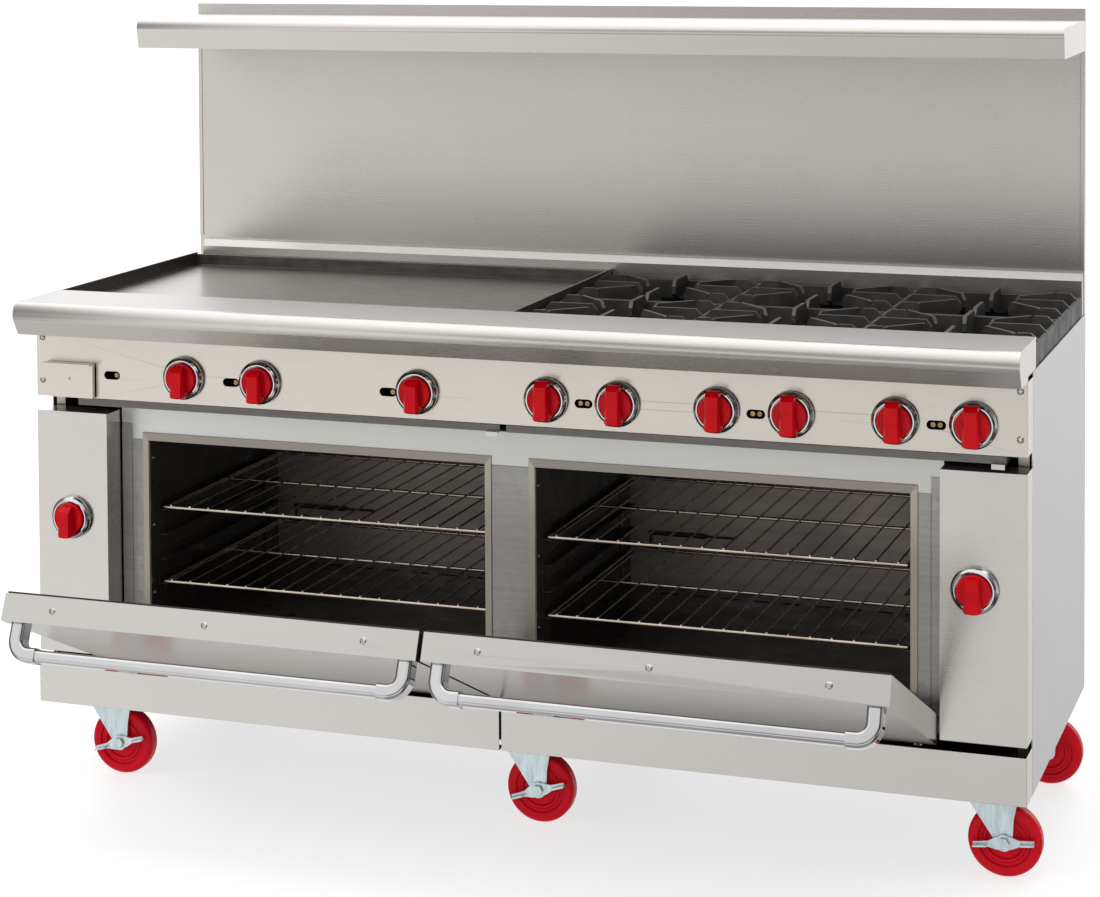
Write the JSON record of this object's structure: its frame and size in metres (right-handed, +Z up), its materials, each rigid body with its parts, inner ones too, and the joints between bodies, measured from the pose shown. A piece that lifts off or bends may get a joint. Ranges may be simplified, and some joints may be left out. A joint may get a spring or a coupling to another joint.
{
  "type": "commercial gas range",
  "caption": "Restaurant gas range with griddle, open burners under cast grates, two ovens with drop-down doors, back guard and high shelf, on swivel casters",
  "frame": {"origin": "on the floor, under the middle of the box around the whole range at rest, oven doors part open", "axes": "+X to the right seen from the front, +Y to the back, +Z up"},
  "size_m": [1.8444, 1.205, 1.433],
  "materials": {
    "brushed": "brushed stainless sheet, number 4 grain",
    "dark_steel": "black baked enamel on steel",
    "galvanised": "satin coated steel sheet",
    "plate": "ground and polished steel plate, seasoned",
    "cast": "matt black cast iron",
    "chrome": "bright plated",
    "zinc": "bright zinc plated pressings",
    "red_plastic": "glossy moulded phenolic",
    "red_tread": "moulded polyurethane tread on a hard core",
    "seal": "black woven and rubber seal",
    "brass": "machined brass",
    "pipe": "black steel pipe"
  },
  "bodies": {
    "cabinet": {"outer_panels": "brushed", "control_columns": "brushed", "kick_plates": "brushed", "control_panel": "brushed", "landing_ledge": "brushed", "back_guard": "brushed", "high_shelf": "brushed", "base_frame": "dark_steel", "burner_box": "dark_steel", "oven_liners": "dark_steel", "front_frame": "galvanised", "griddle": "plate", "burners": "cast", "top_grates": "cast", "gas_manifold": "pipe", "gas_valves": "brass", "knob_bezels": "chrome", "panel_screws": "zinc", "caster_plates": "zinc", "rack_guides": "galvanised", "thermostat_bulbs": "galvanised"},
    "door_left": {"door_left_panel": "brushed", "door_left_gasket": "seal", "door_left_handle": "chrome"},
    "door_right": {"door_right_panel": "brushed", "door_right_gasket": "seal", "door_right_handle": "chrome"},
    "rack_left_lower": {"rack_left_lower": "chrome"},
    "rack_left_upper": {"rack_left_upper": "chrome"},
    "rack_right_lower": {"rack_right_lower": "chrome"},
    "rack_right_upper": {"rack_right_upper": "chrome"},
    "grease_drawer": {"grease_drawer": "brushed"},
    "crumb_tray_left": {"crumb_tray_left": "brushed"},
    "crumb_tray_right": {"crumb_tray_right": "brushed"},
    "knob_griddle_left": {"knob_griddle_left": "red_plastic"},
    "knob_griddle_middle": {"knob_griddle_middle": "red_plastic"},
    "knob_griddle_right": {"knob_griddle_right": "red_plastic"},
    "knob_burner_1_rear": {"knob_burner_1_rear": "red_plastic"},
    "knob_burner_1_front": {"knob_burner_1_front": "red_plastic"},
    "knob_burner_2_rear": {"knob_burner_2_rear": "red_plastic"},
    "knob_burner_2_front": {"knob_burner_2_front": "red_plastic"},
    "knob_burner_3_rear": {"knob_burner_3_rear": "red_plastic"},
    "knob_burner_3_front": {"knob_burner_3_front": "red_plastic"},
    "knob_oven_left": {"knob_oven_left": "red_plastic"},
    "knob_oven_right": {"knob_oven_right": "red_plastic"},
    "fork_front_left": {"caster_fork_front_left": "zinc"},
    "wheel_front_left": {"caster_wheel_front_left": "red_tread"},
    "fork_front_middle": {"caster_fork_front_middle": "zinc"},
    "wheel_front_middle": {"caster_wheel_front_middle": "red_tread"},
    "fork_front_right": {"caster_fork_front_right": "zinc"},
    "wheel_front_right": {"caster_wheel_front_right": "red_tread"},
    "fork_rear_left": {"caster_fork_rear_left": "zinc"},
    "wheel_rear_left": {"caster_wheel_rear_left": "red_tread"},
    "fork_rear_middle": {"caster_fork_rear_middle": "zinc"},
    "wheel_rear_middle": {"caster_wheel_rear_middle": "red_tread"},
    "fork_rear_right": {"caster_fork_rear_right": "zinc"},
    "wheel_rear_right": {"caster_wheel_rear_right": "red_tread"},
    "brake_front_left": {"caster_brake_front_left": "zinc"},
    "brake_front_middle": {"caster_brake_front_middle": "zinc"},
    "brake_front_right": {"caster_brake_front_right": "zinc"}
  },
  "joints": [
    {"name": "door_left_hinge", "type": "hinge", "parent": "cabinet", "child": "door_left", "pos_m": [-0.39325, -0.1695, 0.232], "axis": [1, 0, 0], "range_deg": [-66.5, 21.5]},
    {"name": "door_right_hinge", "type": "hinge", "parent": "cabinet", "child": "door_right", "pos_m": [0.37775, -0.1695, 0.232], "axis": [1, 0, 0], "range_deg": [-66.5, 21.5]},
    {"name": "rack_left_lower_slide", "type": "slide", "parent": "cabinet", "child": "rack_left_lower", "axis": [0, -1, 0], "range_m": [0, 0.22]},
    {"name": "rack_left_upper_slide", "type": "slide", "parent": "cabinet", "child": "rack_left_upper", "axis": [0, -1, 0], "range_m": [0, 0.43]},
    {"name": "rack_right_lower_slide", "type": "slide", "parent": "cabinet", "child": "rack_right_lower", "axis": [0, -1, 0], "range_m": [0, 0.22]},
    {"name": "rack_right_upper_slide", "type": "slide", "parent": "cabinet", "child": "rack_right_upper", "axis": [0, -1, 0], "range_m": [0, 0.43]},
    {"name": "grease_drawer_slide", "type": "slide", "parent": "cabinet", "child": "grease_drawer", "axis": [0, -1, 0], "range_m": [0, 0.3]},
    {"name": "crumb_tray_left_slide", "type": "slide", "parent": "cabinet", "child": "crumb_tray_left", "axis": [0, -1, 0], "range_m": [0, 0.5]},
    {"name": "crumb_tray_right_slide", "type": "slide", "parent": "cabinet", "child": "crumb_tray_right", "axis": [0, -1, 0], "range_m": [0, 0.5]},
    {"name": "knob_griddle_left_turn", "type": "hinge", "parent": "cabinet", "child": "knob_griddle_left", "pos_m": [-0.61735, -0.1995, 0.773], "axis": [0, -1, 0], "range_deg": [0, 90]},
    {"name": "knob_griddle_middle_turn", "type": "hinge", "parent": "cabinet", "child": "knob_griddle_middle", "pos_m": [-0.46495, -0.1995, 0.773], "axis": [0, -1, 0], "range_deg": [0, 90]},
    {"name": "knob_griddle_right_turn", "type": "hinge", "parent": "cabinet", "child": "knob_griddle_right", "pos_m": [-0.16015, -0.1995, 0.773], "axis": [0, -1, 0], "range_deg": [0, 90]},
    {"name": "knob_burner_1_rear_turn", "type": "hinge", "parent": "cabinet", "child": "knob_burner_1_rear", "pos_m": [0.07995, -0.1995, 0.773], "axis": [0, -1, 0], "range_deg": [0, 90]},
    {"name": "knob_burner_1_front_turn", "type": "hinge", "parent": "cabinet", "child": "knob_burner_1_front", "pos_m": [0.20935, -0.1995, 0.773], "axis": [0, -1, 0], "range_deg": [0, 90]},
    {"name": "knob_burner_2_rear_turn", "type": "hinge", "parent": "cabinet", "child": "knob_burner_2_rear", "pos_m": [0.38475, -0.1995, 0.773], "axis": [0, -1, 0], "range_deg": [0, 90]},
    {"name": "knob_burner_2_front_turn", "type": "hinge", "parent": "cabinet", "child": "knob_burner_2_front", "pos_m": [0.51415, -0.1995, 0.773], "axis": [0, -1, 0], "range_deg": [0, 90]},
    {"name": "knob_burner_3_rear_turn", "type": "hinge", "parent": "cabinet", "child": "knob_burner_3_rear", "pos_m": [0.68955, -0.1995, 0.773], "axis": [0, -1, 0], "range_deg": [0, 90]},
    {"name": "knob_burner_3_front_turn", "type": "hinge", "parent": "cabinet", "child": "knob_burner_3_front", "pos_m": [0.81895, -0.1995, 0.773], "axis": [0, -1, 0], "range_deg": [0, 90]},
    {"name": "knob_oven_left_turn", "type": "hinge", "parent": "cabinet", "child": "knob_oven_left", "pos_m": [-0.85075, -0.1995, 0.499], "axis": [0, -1, 0], "range_deg": [0, 270]},
    {"name": "knob_oven_right_turn", "type": "hinge", "parent": "cabinet", "child": "knob_oven_right", "pos_m": [0.82125, -0.1995, 0.499], "axis": [0, -1, 0], "range_deg": [0, 270]},
    {"name": "swivel_front_left", "type": "hinge", "parent": "cabinet", "child": "fork_front_left", "pos_m": [-0.81175, -0.0995, 0.131], "axis": [0, 0, 1], "continuous": true},
    {"name": "roll_front_left", "type": "hinge", "parent": "fork_front_left", "child": "wheel_front_left", "pos_m": [-0.78775, -0.0995, 0.062], "axis": [0, 1, 0], "continuous": true},
    {"name": "swivel_front_middle", "type": "hinge", "parent": "cabinet", "child": "fork_front_middle", "pos_m": [0.01825, -0.0995, 0.131], "axis": [0, 0, 1], "continuous": true},
    {"name": "roll_front_middle", "type": "hinge", "parent": "fork_front_middle", "child": "wheel_front_middle", "pos_m": [0.04225, -0.0995, 0.062], "axis": [0, 1, 0], "continuous": true},
    {"name": "swivel_front_right", "type": "hinge", "parent": "cabinet", "child": "fork_front_right", "pos_m": [0.83625, -0.0995, 0.131], "axis": [0, 0, 1], "continuous": true},
    {"name": "roll_front_right", "type": "hinge", "parent": "fork_front_right", "child": "wheel_front_right", "pos_m": [0.86025, -0.0995, 0.062], "axis": [0, 1, 0], "continuous": true},
    {"name": "swivel_rear_left", "type": "hinge", "parent": "cabinet", "child": "fork_rear_left", "pos_m": [-0.81175, 0.4205, 0.131], "axis": [0, 0, 1], "continuous": true},
    {"name": "roll_rear_left", "type": "hinge", "parent": "fork_rear_left", "child": "wheel_rear_left", "pos_m": [-0.78775, 0.4205, 0.062], "axis": [0, 1, 0], "continuous": true},
    {"name": "swivel_rear_middle", "type": "hinge", "parent": "cabinet", "child": "fork_rear_middle", "pos_m": [0.01825, 0.4205, 0.131], "axis": [0, 0, 1], "continuous": true},
    {"name": "roll_rear_middle", "type": "hinge", "parent": "fork_rear_middle", "child": "wheel_rear_middle", "pos_m": [0.04225, 0.4205, 0.062], "axis": [0, 1, 0], "continuous": true},
    {"name": "swivel_rear_right", "type": "hinge", "parent": "cabinet", "child": "fork_rear_right", "pos_m": [0.83625, 0.4205, 0.131], "axis": [0, 0, 1], "continuous": true},
    {"name": "roll_rear_right", "type": "hinge", "parent": "fork_rear_right", "child": "wheel_rear_right", "pos_m": [0.86025, 0.4205, 0.062], "axis": [0, 1, 0], "continuous": true},
    {"name": "brake_front_left_rock", "type": "hinge", "parent": "fork_front_left", "child": "brake_front_left", "pos_m": [-0.78775, -0.0995, 0.062], "axis": [0, 1, 0], "range_deg": [-4, 32]},
    {"name": "brake_front_middle_rock", "type": "hinge", "parent": "fork_front_middle", "child": "brake_front_middle", "pos_m": [0.04225, -0.0995, 0.062], "axis": [0, 1, 0], "range_deg": [-2, 34]},
    {"name": "brake_front_right_rock", "type": "hinge", "parent": "fork_front_right", "child": "brake_front_right", "pos_m": [0.86025, -0.0995, 0.062], "axis": [0, 1, 0], "range_deg": [-14, 22]}
  ]
}
